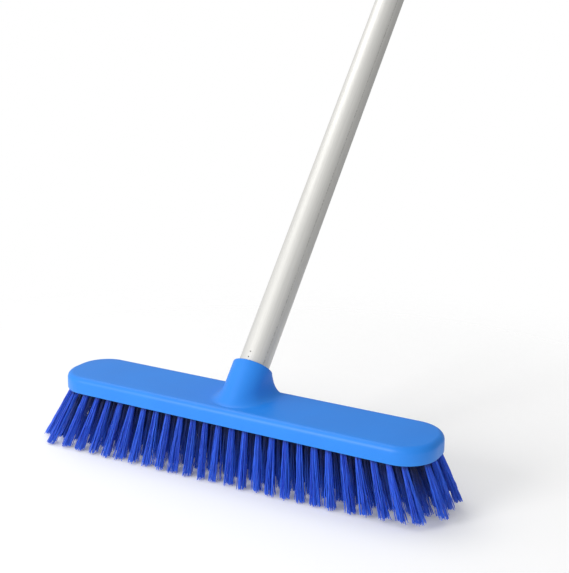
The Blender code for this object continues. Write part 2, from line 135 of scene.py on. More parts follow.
def plan_outline(spacing, least=8):
    """Even points round the block's plan, anticlockwise, each with its outward normal."""
    straight_x = HEAD_LENGTH - 2 * END_RADIUS
    straight_y = HEAD_WIDTH - 2 * END_RADIUS
    arc = END_RADIUS * math.pi / 2
    points = []
    for quarter in range(4):
        sign_x = 1 if quarter in (0, 3) else -1
        sign_y = 1 if quarter in (0, 1) else -1
        centre = Vector((sign_x * straight_x / 2, sign_y * straight_y / 2, 0))
        steps = max(round(arc / spacing), least)
        for i in range(steps):
            turn = math.pi / 2 * (quarter + i / steps)
            normal = Vector((math.cos(turn), math.sin(turn), 0))
            points.append((centre + normal * END_RADIUS, normal))
        turn = math.pi / 2 * (quarter + 1)
        normal = Vector((math.cos(turn), math.sin(turn), 0))
        along = Vector((-math.sin(turn), math.cos(turn), 0))
        length = straight_x if quarter in (0, 2) else straight_y
        steps = max(round(length / spacing), 1)
        for i in range(steps):
            points.append((centre + normal * END_RADIUS + along * (length * i / steps), normal))
    return points


def around(values, turn):
    """Mix of the side, back and front values round the socket; the back is at a quarter turn."""
    end = values["back"] if math.sin(turn) > 0 else values["front"]
    return values["side"] * math.cos(turn) ** 2 + end * math.sin(turn) ** 2


def skin(builder, rings):
    """Faces between rings of equal count, listed top to bottom, closed at both ends."""
    rows = [[builder.verts.new(point) for point in ring] for ring in rings]
    count = len(rows[0])
    for upper, lower in zip(rows, rows[1:]):
        for i in range(count):
            j = (i + 1) % count
            builder.faces.new((upper[i], lower[i], lower[j], upper[j]))
    builder.faces.new(rows[0])
    builder.faces.new(list(reversed(rows[-1])))


def new_object(name, builder):
    """Turn a bmesh into an object at the origin."""
    mesh = bpy.data.meshes.new(name)
    builder.to_mesh(mesh)
    builder.free()
    made = bpy.data.objects.new(name, mesh)
    bpy.context.scene.collection.objects.link(made)
    return made


def smooth_step(share):
    """A share held between 0 and 1, easing at both ends."""
    held = min(max(share, 0.0), 1.0)
    return held * held * (3 - 2 * held)


def held_below(value, limit, softness):
    """The value, eased so that it stays under the limit."""
    return limit - softness * math.log(1 + math.exp((limit - value) / softness))


def socket_column(turn):
    """Rim rings, fillet start, corner with the block's top and fillet foot, at a turn.

    The front wall follows the pole's tilt. The back wall stands nearly upright under the rim,
    so that the mould can open straight up.
    """
    flat_half = HEAD_WIDTH / 2 - TOP_EDGE_RADIUS - SIDE_DRAFT * (BLOCK_HEIGHT - TOP_EDGE_RADIUS)
    radial = Vector((math.cos(turn), math.sin(turn), 0))
    rim_steps = 4
    rim = []
    for k in range(rim_steps + 1):
        roll = math.pi / 2 * k / rim_steps
        radius = SOCKET_RADIUS - RIM_ROUND * (1 - math.sin(roll))
        height = SOCKET_LENGTH - RIM_ROUND * (1 - math.cos(roll))
        rim.append(POLE_FRAME @ (radial * radius + Vector((0, 0, height))))
    top = POLE_FRAME @ (radial * SOCKET_RADIUS + Vector((0, 0, SOCKET_LENGTH)))
    rise = top.z - BLOCK_HEIGHT
    upright = smooth_step(0.5 + radial.y / (2 * SOCKET_TURN))
    squash = upright / math.cos(TILT) + (1 - upright) * math.cos(TILT)
    out = Vector((radial.x, radial.y * squash, 0)).normalized()
    corner = Vector((top.x, top.y - (1 - upright) * math.tan(TILT) * rise, BLOCK_HEIGHT))
    corner += out * math.tan(SOCKET_DRAFT) * rise * upright
    corner.y = held_below(corner.y, HEAD_WIDTH / 2 - SOCKET_SETBACK, EDGE_SOFTNESS)
    side = math.copysign(1, out.y)
    room = max(flat_half - side * corner.y, 0.0)
    fade = smooth_step(room / FILLET_FADE)
    wall = rim[-1] - corner
    up = min(around(FILLET_UP, turn), wall.length - SOCKET_LIP) * fade
    foot = corner + out * around(FILLET_OUT, turn) * fade
    if room > 0:
        limit = FOOT_SHARE * room
        eased = limit * (1 - math.exp(-abs(foot.y - corner.y) / limit))
        foot.y = corner.y + side * eased
    past_flat = min(max(abs(corner.y) - flat_half, 0.0), TOP_EDGE_RADIUS)
    edge_turn = math.asin(past_flat / TOP_EDGE_RADIUS)
    drop = Vector((0, 0, TOP_EDGE_RADIUS * (1 - math.cos(edge_turn))))
    upwards = wall.normalized()
    start = corner - drop * (1 - fade) + upwards * max(up, FILLET_RUN)
    bend = corner - drop + upwards * (1 - fade) * FILLET_RUN / 2
    return rim, start, bend, foot - drop, edge_turn


def block_rings():
    """From the socket's rim out and down over the block to its underside."""
    wall_steps, fillet_steps, top_steps, edge_steps, bottom_steps = 5, 16, 6, 9, 3
    spacing, back_squeeze, top_ease = 0.0013, 0.6, 1.3
    columns = []
    for edge_point, normal in plan_outline(spacing):
        squeeze = back_squeeze if edge_point.y > 0 else math.cos(TILT)
        turn = math.atan2(edge_point.y * squeeze, edge_point.x)
        rim, start, corner, foot, edge_turn = socket_column(turn)
        column = list(rim)
        for k in range(1, wall_steps):
            column.append(rim[-1].lerp(start, k / wall_steps))
        for k in range(fillet_steps + 1):
            s = k / fillet_steps
            column.append((1 - s) ** 2 * start + 2 * s * (1 - s) * corner + s ** 2 * foot)
        edge = []
        for k in range(edge_steps + 1):
            roll = edge_turn + (math.pi / 2 - edge_turn) * k / edge_steps
            inset = TOP_EDGE_RADIUS * (1 - math.sin(roll))
            height = BLOCK_HEIGHT - TOP_EDGE_RADIUS * (1 - math.cos(roll))
            inset += SIDE_DRAFT * (BLOCK_HEIGHT - TOP_EDGE_RADIUS)
            edge.append(edge_point - normal * inset + Vector((0, 0, height)))
        for k in range(1, top_steps):
            column.append(foot.lerp(edge[0], (k / top_steps) ** top_ease))
        column += edge
        for k in range(bottom_steps):
            roll = math.pi / 2 * k / (bottom_steps - 1)
            height = BOTTOM_EDGE_RADIUS * (1 - math.sin(roll))
            inset = BOTTOM_EDGE_RADIUS * (1 - math.cos(roll)) + SIDE_DRAFT * height
            column.append(edge_point - normal * inset + Vector((0, 0, height)))
        columns.append(column)
    return [list(ring) for ring in zip(*columns)]


def thread_rings(bottom, top, mean_radius, runout, sides):
    """Rings of the rounded right-hand thread in the pole's frame, top to bottom."""
    count = math.ceil((top - bottom) / (THREAD_LEAD / THREAD_RINGS))
    rings = []
    for k in range(count + 1):
        height = top - (top - bottom) * k / count
        strength = 1.0
        if runout:
            from_end = min(height - bottom, top - height) / runout
            strength = min(max(from_end, 0.0), 1.0)
        ring = []
        for i in range(sides):
            turn = 2 * math.pi * i / sides
            wave = math.cos(2 * math.pi * height / THREAD_LEAD - turn)
            radius = mean_radius - THREAD_AMPLITUDE + THREAD_AMPLITUDE * (1 + wave) * strength
            ring.append(Vector((radius * math.cos(turn), radius * math.sin(turn), height)))
        rings.append(ring)
    return rings


def turned_rings(profile, sides):
    """Rings in the pole's frame for a profile of (radius, height) points, top to bottom."""
    rings = []
    for radius, height in profile:
        rings.append([Vector((radius * math.cos(2 * math.pi * i / sides),
                              radius * math.sin(2 * math.pi * i / sides), height))
                      for i in range(sides)])
    return rings


def to_pole_frame(builder):
    """Move what was drawn about Z onto the pole's axis."""
    bmesh.ops.transform(builder, matrix=POLE_FRAME, verts=builder.verts)


def apply_modifiers(piece):
    """Replace the piece's mesh by its evaluated one and drop the modifiers."""
    bpy.context.view_layer.update()
    graph = bpy.context.evaluated_depsgraph_get()
    mesh = bpy.data.meshes.new_from_object(piece.evaluated_get(graph))
    piece.modifiers.clear()
    piece.data = mesh
    mesh.name = piece.name


def cut(piece, tool):
    """Take the tool's shape out of the piece and delete the tool."""
    step = piece.modifiers.new("cut", "BOOLEAN")
    step.object = tool
    step.operation = "DIFFERENCE"
    step.solver = "EXACT"
    apply_modifiers(piece)
    bpy.data.objects.remove(tool, do_unlink=True)


def crisp(piece, degrees):
    """Smooth shading, with edges sharper than the angle kept sharp."""
    piece.data.shade_smooth()
    piece.data.set_sharp_from_angle(angle=math.radians(degrees))


builder = bmesh.new()
skin(builder, block_rings())
brush_block = new_object("moulded_block", builder)

builder = bmesh.new()
mouth_radius = COUNTERBORE_RADIUS + MOUTH_BREAK
skin(builder, turned_rings([(COUNTERBORE_RADIUS + MOUTH_BREAK / 2 + CUT_OVERRUN,
                             SOCKET_LENGTH + CUT_OVERRUN),
                            (mouth_radius, SOCKET_LENGTH + MOUTH_BREAK / 2),
                            (COUNTERBORE_RADIUS, SOCKET_LENGTH - MOUTH_BREAK),
                            (COUNTERBORE_RADIUS, COUNTERBORE_FLOOR)], 96))
to_pole_frame(builder)
cut(brush_block, new_object("counterbore_tool", builder))

builder = bmesh.new()
skin(builder, thread_rings(BORE_BOTTOM, COUNTERBORE_FLOOR + CORE_OVERRUN,
                           THREAD_RADIUS + THREAD_CLEARANCE, 0, 48))
to_pole_frame(builder)
cut(brush_block, new_object("thread_tool", builder))

builder = bmesh.new()
for column in range(COLUMNS):
    for mouth, slope_x, slope_y in tufts_of_column(column):
        hole = []
        for height in (HOLE_DEPTH, -DRILL_OVERRUN):
            centre = mouth + Vector((-slope_x * height, -slope_y * height, height))
            turns = [2 * math.pi * i / HOLE_SIDES for i in range(HOLE_SIDES)]
            hole.append([centre + Vector((math.cos(turn), math.sin(turn), 0)) * HOLE_RADIUS
                         for turn in turns])
        skin(builder, hole)
cut(brush_block, new_object("drill_tool", builder))
crisp(brush_block, 40)


def linear(hex_colour):
    """sRGB hex to linear RGBA."""
    channels = [int(hex_colour[i:i + 2], 16) / 255 for i in (1, 3, 5)]
    scaled = [c / 12.92 if c <= 0.04045 else ((c + 0.055) / 1.055) ** 2.4 for c in channels]
    return (*scaled, 1.0)


def new_material(name):
    """An empty node material with its Principled shader and tree."""
    made = bpy.data.materials.new(name)
    made.use_nodes = True
    return made, made.node_tree, made.node_tree.nodes["Principled BSDF"]


def node(tree, kind, settings=None, *terms, **links):
    """Add a node, set its properties, and set or link its inputs, by place or by name.

    The settings may be just an operation's name, and a node stands for its first live output.
    """
    made = tree.nodes.new(kind)
    if isinstance(settings, str):
        settings = {"operation": settings}
    for key, value in (settings or {}).items():
        setattr(made, key, value)
    for key, value in (*enumerate(terms), *links.items()):
        socket = made.inputs[key.replace("_", " ") if isinstance(key, str) else key]
        if isinstance(value, bpy.types.Node):
            value = next(output for output in value.outputs if output.enabled)
        if isinstance(value, bpy.types.NodeSocket):
            tree.links.new(value, socket)
        else:
            socket.default_value = value
    return made


# Moulded polypropylene, satin: a bright even blue with a soft wide highlight. The tool's fine
# spark-eroded grain breaks the highlight up, and flow in the mould leaves faint cloudy tone.
# The grain, about 0.4 mm, is drawn as coarse as it needs to show.
block_satin, tree, shader = new_material("moulded_polypropylene_satin_blue")
place = node(tree, "ShaderNodeTexCoord").outputs["Object"]
cloud = node(tree, "ShaderNodeTexNoise", Vector=place, Scale=22.0, Detail=3.0)
tone = node(tree, "ShaderNodeMix", {"data_type": "RGBA"}, Factor=cloud,
            A=linear("#137DE0"), B=linear("#1E88EC"))
tree.links.new(tone.outputs["Result"], shader.inputs["Base Color"])
grain = node(tree, "ShaderNodeTexNoise", Vector=place, Scale=2200.0, Detail=2.0)
bump = node(tree, "ShaderNodeBump", Strength=0.12, Distance=0.0002, Height=grain)
tree.links.new(bump.outputs["Normal"], shader.inputs["Normal"])
gloss = node(tree, "ShaderNodeMapRange", Value=cloud, To_Min=0.38, To_Max=0.48)
tree.links.new(gloss.outputs["Result"], shader.inputs["Roughness"])
shader.inputs["IOR"].default_value = 1.49

brush_block.data.materials.clear()
brush_block.data.materials.append(block_satin)
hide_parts("brush_block")
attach(brush_block, "head")

# ---------------------------------------------------------------------------------------------
# Tufts. Each is a bundle of crimped polypropylene filament, folded once and driven into its
# hole, then splayed by the hole's lean and trimmed level after setting. No two filaments lie
# alike: they spread towards the tips, wave slightly, and a few stray out or stand long.
# ---------------------------------------------------------------------------------------------

TRIM_LENGTH = 0.055
WORN_LENGTH = 0.0055                # how much shorter the bristles at the right-hand end are
WORN_FROM = 0.5                     # where that wear begins, as a share of the half length
SET_ACROSS = 0.155                  # how far use has bent them: back on the right, forward left
SET_INWARD = 0.13                   # how much less the worn right-hand end still fans out
SET_INWARD_FROM = 0.84              # where that begins, and how far it takes to grow
SET_INWARD_RUN = 0.12
SET_CURVE = 1.25                    # how the bend grows down a strand, as a power
STRANDS = 56
STRAND_RADIUS = 0.00034
STRAND_POINTS = 11
STRAND_SIDES = 4
ROOT_SPREAD = 0.0023
TIP_SPREAD = 0.0069
CLUMPS = 7                          # bunches that each tuft's filaments gather in
ROOT_GAP = 0.0009                   # folded end to the hole's bottom
OUTER_ROW_REACH = 0.002             # how much further in than the edge margin a row is outer

bristle_tree = bpy.data.node_groups.new("filament_tufts", "GeometryNodeTree")
bristle_tree.is_modifier = True
face = bristle_tree.interface
face.new_socket("Geometry", in_out="INPUT", socket_type="NodeSocketGeometry")
COUNT, SIZE = "NodeSocketInt", "NodeSocketFloat"
SIZES = [("Strands", COUNT, STRANDS), ("Strand Radius", SIZE, STRAND_RADIUS),
         ("Root Spread", SIZE, ROOT_SPREAD), ("Tip Spread", SIZE, TIP_SPREAD),
         ("Trim Length", SIZE, TRIM_LENGTH), ("Worn", SIZE, 0.0),
         ("Set Depth", SIZE, HOLE_DEPTH - ROOT_GAP), ("Tip Scatter", SIZE, 0.0011),
         ("Length Scatter", SIZE, 0.0009), ("Stray Share", SIZE, 0.04),
         ("Stray Reach", SIZE, 0.0050), ("Crimp Height", SIZE, 0.00030),
         ("Crimp Length", SIZE, 0.016), ("Clumps", COUNT, CLUMPS), ("Clump Pull", SIZE, 0.40),
         ("Clump Step", SIZE, 0.0010), ("Seed", COUNT, 1)]
for label, kind, _ in SIZES:
    face.new_socket(label, in_out="INPUT", socket_type=kind)
face.new_socket("Material", in_out="INPUT", socket_type="NodeSocketMaterial")
face.new_socket("Geometry", in_out="OUTPUT", socket_type="NodeSocketGeometry")

MATHS, VECTORS = "ShaderNodeMath", "ShaderNodeVectorMath"
FULL_TURN = 2 * math.pi
given = node(bristle_tree, "NodeGroupInput").outputs

# Every filament gets its own random numbers, each from its own stream of the seed.
draw = {}
for label, low, high, stream in (
        ("disc radius", 0.0, 1.0, 11), ("disc turn", 0.0, FULL_TURN, 23),
        ("stray", 0.0, 1.0, 37), ("wander", 0.0, 1.0, 41), ("wander turn", 0.0, FULL_TURN, 53),
        ("length", -1.0, 0.6, 67), ("phase", 0.0, FULL_TURN, 71), ("strand", 0.0, 1.0, 83),
        ("clump", 0.0, 0.999, 97)):
    seed = node(bristle_tree, MATHS, "ADD", given["Seed"], stream)
    draw[label] = node(bristle_tree, "FunctionNodeRandomValue", {"data_type": "FLOAT"},
                       Min=low, Max=high, Seed=seed)

# Filaments of one tuft that share a clump's number share these, so they lie together.
index = node(bristle_tree, "GeometryNodeInputIndex")
tuft = node(bristle_tree, "GeometryNodeInputNamedAttribute", {"data_type": "INT"}, Name="tuft")
clump = node(bristle_tree, MATHS, "MULTIPLY", draw["clump"], given["Clumps"])
clump = node(bristle_tree, MATHS, "FLOOR", clump)
clump = node(bristle_tree, MATHS, "MULTIPLY_ADD", tuft, given["Clumps"], clump)
for label, low, high, stream in (("bunch radius", 0.05, 1.0, 101),
                                 ("bunch turn", 0.0, FULL_TURN, 103),
                                 ("bunch length", -1.0, 0.6, 107)):
    seed = node(bristle_tree, MATHS, "ADD", given["Seed"], stream)
    draw[label] = node(bristle_tree, "FunctionNodeRandomValue", {"data_type": "FLOAT"},
                       Min=low, Max=high, Seed=seed, ID=clump)

# Where it stands in the round bundle, where its bunch stands, and how far its tip wanders.
stray = node(bristle_tree, MATHS, "LESS_THAN", draw["stray"], given["Stray Share"])
wander = node(bristle_tree, MATHS, "MULTIPLY", stray, given["Stray Reach"])
wander = node(bristle_tree, MATHS, "ADD", given["Tip Scatter"], wander)
spot = {}
for label, radius, turn in (
        ("disc", node(bristle_tree, MATHS, "SQRT", draw["disc radius"]), draw["disc turn"]),
        ("bunch", node(bristle_tree, MATHS, "SQRT", draw["bunch radius"]), draw["bunch turn"]),
        ("jitter", node(bristle_tree, MATHS, "MULTIPLY", wander, draw["wander"]),
         draw["wander turn"])):
    x = node(bristle_tree, MATHS, "MULTIPLY", radius, node(bristle_tree, MATHS, "COSINE", turn))
    y = node(bristle_tree, MATHS, "MULTIPLY", radius, node(bristle_tree, MATHS, "SINE", turn))
    spot[label] = node(bristle_tree, "ShaderNodeCombineXYZ", None, x, y)

# How long it is: the trimmed length, less wear, with its own and its bunch's unevenness.
uneven = node(bristle_tree, MATHS, "MULTIPLY", draw["bunch length"], given["Clump Step"])
uneven = node(bristle_tree, MATHS, "MULTIPLY_ADD", given["Length Scatter"], draw["length"], uneven)
length = node(bristle_tree, MATHS, "SUBTRACT", given["Trim Length"], given["Worn"])
length = node(bristle_tree, MATHS, "ADD", length, uneven)

# A point for each filament at its tuft's mouth, which keeps those values under their names.
points = node(bristle_tree, "GeometryNodeStoreNamedAttribute",
              {"data_type": "INT", "domain": "POINT"}, Geometry=given["Geometry"], Name="tuft",
              Value=index)
points = node(bristle_tree, "GeometryNodeDuplicateElements", {"domain": "POINT"},
              Geometry=points, Amount=given["Strands"])
for label, kind, value in (
        ("mouth", "FLOAT_VECTOR", node(bristle_tree, "GeometryNodeInputPosition")),
        ("disc", "FLOAT_VECTOR", spot["disc"]), ("bunch", "FLOAT_VECTOR", spot["bunch"]),
        ("jitter", "FLOAT_VECTOR", spot["jitter"]), ("reach", "FLOAT", length),
        ("phase", "FLOAT", draw["phase"]), ("strand", "FLOAT", draw["strand"])):
    points = node(bristle_tree, "GeometryNodeStoreNamedAttribute",
                  {"data_type": kind, "domain": "POINT"}, Geometry=points, Name=label,
                  Value=value)
gathered = node(bristle_tree, "GeometryNodeSetPosition", Geometry=points, Position=(0, 0, 0))

# A straight unit strand on each point, from the fold in the hole, below nought, to the tip.
root_share = node(bristle_tree, MATHS, "DIVIDE", given["Set Depth"], given["Trim Length"])
root_share = node(bristle_tree, MATHS, "MULTIPLY", root_share, -1.0)
straight = node(bristle_tree, "GeometryNodeCurvePrimitiveLine", {"mode": "POINTS"},
                Start=node(bristle_tree, "ShaderNodeCombineXYZ", Z=root_share), End=(0, 0, 1))
divided = node(bristle_tree, "GeometryNodeResampleCurve", Curve=straight, Count=STRAND_POINTS)
strands = node(bristle_tree, "GeometryNodeInstanceOnPoints", Points=gathered, Instance=divided)
strands = node(bristle_tree, "GeometryNodeRealizeInstances", Geometry=strands)
kept = {label: node(bristle_tree, "GeometryNodeInputNamedAttribute", {"data_type": kind}, Name=label)
        for label, kind in (("mouth", "FLOAT_VECTOR"), ("disc", "FLOAT_VECTOR"),
                            ("bunch", "FLOAT_VECTOR"), ("jitter", "FLOAT_VECTOR"),
                            ("lean", "FLOAT_VECTOR"), ("set", "FLOAT_VECTOR"),
                            ("reach", "FLOAT"), ("phase", "FLOAT"))}
share = node(bristle_tree, "ShaderNodeSeparateXYZ",
             Vector=node(bristle_tree, "GeometryNodeInputPosition")).outputs["Z"]
outside = node(bristle_tree, MATHS, "MAXIMUM", share, 0.0)

# Along the tuft's leaning axis, spread outwards, drawn in to the bunch, and bent by use.
down = node(bristle_tree, MATHS, "MULTIPLY", share, kept["reach"])
axis = node(bristle_tree, VECTORS, "SCALE", kept["lean"], Scale=down)
spread = node(bristle_tree, MATHS, "SUBTRACT", given["Tip Spread"], given["Root Spread"])
spread = node(bristle_tree, MATHS, "MULTIPLY_ADD", spread, outside, given["Root Spread"])
pull = node(bristle_tree, MATHS, "MULTIPLY", outside, given["Clump Pull"])
loose = node(bristle_tree, VECTORS, "SCALE", kept["disc"],
             Scale=node(bristle_tree, MATHS, "SUBTRACT", 1.0, pull))
drawn_in = node(bristle_tree, VECTORS, "SCALE", kept["bunch"], Scale=pull)
drawn_in = node(bristle_tree, VECTORS, "ADD", loose, drawn_in)
across = node(bristle_tree, VECTORS, "SCALE", drawn_in, Scale=spread)
wandered = node(bristle_tree, VECTORS, "SCALE", kept["jitter"],
                Scale=node(bristle_tree, MATHS, "MULTIPLY", outside, outside))
bent = node(bristle_tree, VECTORS, "SCALE", kept["set"],
            Scale=node(bristle_tree, MATHS, "POWER", outside, SET_CURVE))
bent = node(bristle_tree, VECTORS, "ADD", wandered, bent)

# The crimp: a slight wave in a plane that differs from strand to strand, none at the hole.
waves = node(bristle_tree, MATHS, "DIVIDE", given["Trim Length"], given["Crimp Length"])
waves = node(bristle_tree, MATHS, "MULTIPLY", waves, FULL_TURN)
waves = node(bristle_tree, MATHS, "MULTIPLY", share, waves)
wave = node(bristle_tree, MATHS, "SINE", node(bristle_tree, MATHS, "ADD", kept["phase"], waves))
wave = node(bristle_tree, MATHS, "MULTIPLY", wave, given["Crimp Height"])
begun = node(bristle_tree, MATHS, "MULTIPLY", outside, 4.0)
begun = node(bristle_tree, MATHS, "MINIMUM", begun, 1.0)
wave = node(bristle_tree, MATHS, "MULTIPLY", wave, begun)
plane = node(bristle_tree, MATHS, "MULTIPLY", kept["phase"], 3.0)
x = node(bristle_tree, MATHS, "MULTIPLY", wave, node(bristle_tree, MATHS, "COSINE", plane))
y = node(bristle_tree, MATHS, "MULTIPLY", wave, node(bristle_tree, MATHS, "SINE", plane))
ripple = node(bristle_tree, "ShaderNodeCombineXYZ", None, x, y)

total = node(bristle_tree, VECTORS, "ADD", axis, bent)
total = node(bristle_tree, VECTORS, "ADD", total, ripple)
foot = node(bristle_tree, VECTORS, "ADD", kept["mouth"], across)
total = node(bristle_tree, VECTORS, "ADD", foot, total)
strands = node(bristle_tree, "GeometryNodeStoreNamedAttribute",
               {"data_type": "FLOAT", "domain": "POINT"}, Geometry=strands, Name="along",
               Value=outside)
shaped = node(bristle_tree, "GeometryNodeSetPosition", Geometry=strands, Position=total)
section = node(bristle_tree, "GeometryNodeCurvePrimitiveCircle", {"mode": "RADIUS"},
               Resolution=STRAND_SIDES, Radius=given["Strand Radius"])
filaments = node(bristle_tree, "GeometryNodeCurveToMesh", Curve=shaped, Profile_Curve=section,
                 Fill_Caps=True)
smooth = node(bristle_tree, "GeometryNodeSetShadeSmooth", Geometry=filaments)
whole = node(bristle_tree, "GeometryNodeRealizeInstances", Geometry=smooth)
finished = node(bristle_tree, "GeometryNodeSetMaterial", Geometry=whole,
                Material=given["Material"])
node(bristle_tree, "NodeGroupOutput", None, finished)

# Extruded polypropylene monofilament: deep blue, with a narrow sheen down each strand. Single
# strands differ a little in tone. The cut tips are painted paler, a painted highlight, and painted
# shade darkens the roots, reaching further down on the inner rows, which the outer rows shadow.
filament_blue, tree, shader = new_material("polypropylene_monofilament_deep_blue")
strand = node(tree, "ShaderNodeAttribute", {"attribute_name": "strand"}).outputs["Fac"]
tone = node(tree, "ShaderNodeMix", {"data_type": "RGBA"}, Factor=strand,
            A=linear("#163FC4"), B=linear("#2E6DF2"))
along = node(tree, "ShaderNodeAttribute", {"attribute_name": "along"}).outputs["Fac"]
# Painted highlight: the colour turns paler over the last fifth of each strand, towards the tip.
tip_highlight = node(tree, "ShaderNodeMapRange", Value=along, From_Min=0.8, To_Max=0.25)
highlighted_tone = node(tree, "ShaderNodeMix", {"data_type": "RGBA"}, Factor=tip_highlight, A=tone,
              B=linear("#4A80F4"))
inner = node(tree, "ShaderNodeAttribute", {"attribute_name": "inner"}).outputs["Fac"]
# Painted shade: the colour darkens to near black at the roots, and nearly to the tips on the inner
# rows.
shade_reach = node(tree, "ShaderNodeMapRange", Value=inner, To_Min=0.12, To_Max=1.15)
painted_root_shade = node(tree, "ShaderNodeMapRange", {"interpolation_type": "SMOOTHSTEP"}, Value=along,
             From_Max=shade_reach, To_Min=0.95, To_Max=0.0)
shaded_tone = node(tree, "ShaderNodeMix", {"data_type": "RGBA"}, Factor=painted_root_shade, A=highlighted_tone,
               B=linear("#050A1C"))
tree.links.new(shaded_tone.outputs["Result"], shader.inputs["Base Color"])
gloss = node(tree, "ShaderNodeMapRange", Value=strand, To_Min=0.30, To_Max=0.45)
tree.links.new(gloss.outputs["Result"], shader.inputs["Roughness"])
shader.inputs["IOR"].default_value = 1.49

for column in range(COLUMNS):
    label = "tuft_column_%02d" % (column + 1)
    tufts = tufts_of_column(column)
    mesh = bpy.data.meshes.new(label)
    mesh.from_pydata([tuple(mouth) for mouth, _, _ in tufts], [], [])
    along_head = tufts[0][0].x / (HEAD_LENGTH / 2)
    for name, kind in (("lean", "FLOAT_VECTOR"), ("set", "FLOAT_VECTOR"), ("inner", "FLOAT")):
        mesh.attributes.new(name, kind, "POINT")
    lean, bend, inner = (mesh.attributes[name] for name in ("lean", "set", "inner"))
    inward = SET_INWARD * smooth_step((along_head - SET_INWARD_FROM) / SET_INWARD_RUN)
    for k, (mouth, slope_x, slope_y) in enumerate(tufts):
        lean.data[k].vector = (slope_x, slope_y, -1.0)
        bend.data[k].vector = (-inward * TRIM_LENGTH, SET_ACROSS * along_head * TRIM_LENGTH, 0)
        # Inner rows get the deeper painted shade at their roots.
        outer_row = outline_distance(mouth.x, mouth.y) < EDGE_MARGIN + OUTER_ROW_REACH
        inner.data[k].value = 0.0 if outer_row else 1.0
    bristles = bpy.data.objects.new(label + "_filaments", mesh)
    bpy.context.scene.collection.objects.link(bristles)
    step = bristles.modifiers.new("filaments", "NODES")
    step.node_group = bristle_tree
    values = {name: value for name, _, value in SIZES}
    values["Seed"] = 100 * (column + 1)
    values["Worn"] = WORN_LENGTH * smooth_step((along_head - WORN_FROM) / (1 - WORN_FROM))
    values["Material"] = filament_blue
    for item in face.items_tree:
        if item.in_out == "INPUT" and item.name in values:
            step[item.identifier] = values[item.name]
    apply_modifiers(bristles)
    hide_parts(label)
    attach(bristles, "head")

# ---------------------------------------------------------------------------------------------
# Screw plug. A moulded polypropylene end pressed into the pole and held by two punched dents.
# Below its flange a neck carries the washer, and a rounded thread screws into the socket.
# ---------------------------------------------------------------------------------------------


def along_pole(name):
    """Lowest and highest reach of a CAD node up the pole's axis."""
    mouth = POLE_FRAME.translation
    reach = [(vertex.co - mouth).dot(pole_direction) for vertex in frame["nodes"][name].data.vertices]
    return min(reach), max(reach)


POLE_RADIUS = (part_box("pole_tube")[1].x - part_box("pole_tube")[0].x) / 2
POLE_WALL = 0.0012
pole_bottom, pole_top = along_pole("pole_tube")
plug_bottom, plug_top = along_pole("thread_plug")
washer_bottom, washer_top = along_pole("seal_washer")
GAP = 0.0003                        # between pieces that touch, and the flange's edge break
SPIGOT_RADIUS = POLE_RADIUS - POLE_WALL - GAP
SPIGOT_LEAD = 0.0012                # lead-in chamfer, then a slighter one
LEAD_END = 0.0022
NECK_RADIUS = 0.0095
NECK_END = 0.0004                   # washer to the neck's end, and to the thread's start
THREAD_START = 0.0007
THREAD_RUNOUT = 0.0025

builder = bmesh.new()
spigot = turned_rings([(SPIGOT_RADIUS - SPIGOT_LEAD, plug_top),
                       (SPIGOT_RADIUS - GAP, plug_top - SPIGOT_LEAD),
                       (SPIGOT_RADIUS, plug_top - LEAD_END), (SPIGOT_RADIUS, pole_bottom - GAP),
                       (POLE_RADIUS - GAP, pole_bottom - GAP),
                       (POLE_RADIUS, pole_bottom - 2 * GAP), (POLE_RADIUS, washer_top + 2 * GAP),
                       (POLE_RADIUS - GAP, washer_top + GAP), (NECK_RADIUS, washer_top + GAP),
                       (NECK_RADIUS, washer_bottom - NECK_END)], 64)
screw = thread_rings(plug_bottom, washer_bottom - THREAD_START, THREAD_RADIUS, THREAD_RUNOUT, 64)
skin(builder, spigot + screw)
to_pole_frame(builder)
screw_plug = new_object("screw_plug", builder)
crisp(screw_plug, 45)

# Natural polypropylene: milky white, waxy, with a faint moulding grain.
plug_wax, tree, shader = new_material("natural_polypropylene_moulded")
place = node(tree, "ShaderNodeTexCoord").outputs["Object"]
cloud = node(tree, "ShaderNodeTexNoise", Vector=place, Scale=140.0, Detail=2.0)
tone = node(tree, "ShaderNodeMix", {"data_type": "RGBA"}, Factor=cloud,
            A=linear("#D6D8DA"), B=linear("#E6E7E6"))
tree.links.new(tone.outputs["Result"], shader.inputs["Base Color"])
bump = node(tree, "ShaderNodeBump", Strength=0.08, Distance=0.0002, Height=cloud)
tree.links.new(bump.outputs["Normal"], shader.inputs["Normal"])
shader.inputs["Roughness"].default_value = 0.42
shader.inputs["Subsurface Weight"].default_value = 0.15
shader.inputs["Subsurface Radius"].default_value = (0.002, 0.002, 0.002)
screw_plug.data.materials.append(plug_wax)
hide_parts("thread_plug")
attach(screw_plug, "pole")

# ---------------------------------------------------------------------------------------------
# Sealing washer. A die-cut rubber ring, captive on the plug's neck, that the flange squeezes
# on the socket's floor to keep water out of the thread.
# ---------------------------------------------------------------------------------------------

WASHER_OUTER = POLE_RADIUS
WASHER_INNER = NECK_RADIUS + 0.0005
WASHER_EDGE = 0.0002


def closed_ring(builder, profile, sides):
    """Turn a closed profile of (radius, height), outer side first and downwards, about Z."""
    rows = [[builder.verts.new(point) for point in ring] for ring in turned_rings(profile, sides)]
    for upper, lower in zip(rows, rows[1:] + rows[:1]):
        for i in range(sides):
            j = (i + 1) % sides
            builder.faces.new((upper[i], lower[i], lower[j], upper[j]))


builder = bmesh.new()
closed_ring(builder, [(WASHER_OUTER - WASHER_EDGE, washer_top),
                      (WASHER_OUTER, washer_top - WASHER_EDGE),
                      (WASHER_OUTER, washer_bottom + WASHER_EDGE),
                      (WASHER_OUTER - WASHER_EDGE, washer_bottom),
                      (WASHER_INNER, washer_bottom), (WASHER_INNER, washer_top)], 72)
to_pole_frame(builder)
seal_washer = new_object("rubber_washer", builder)
crisp(seal_washer, 50)

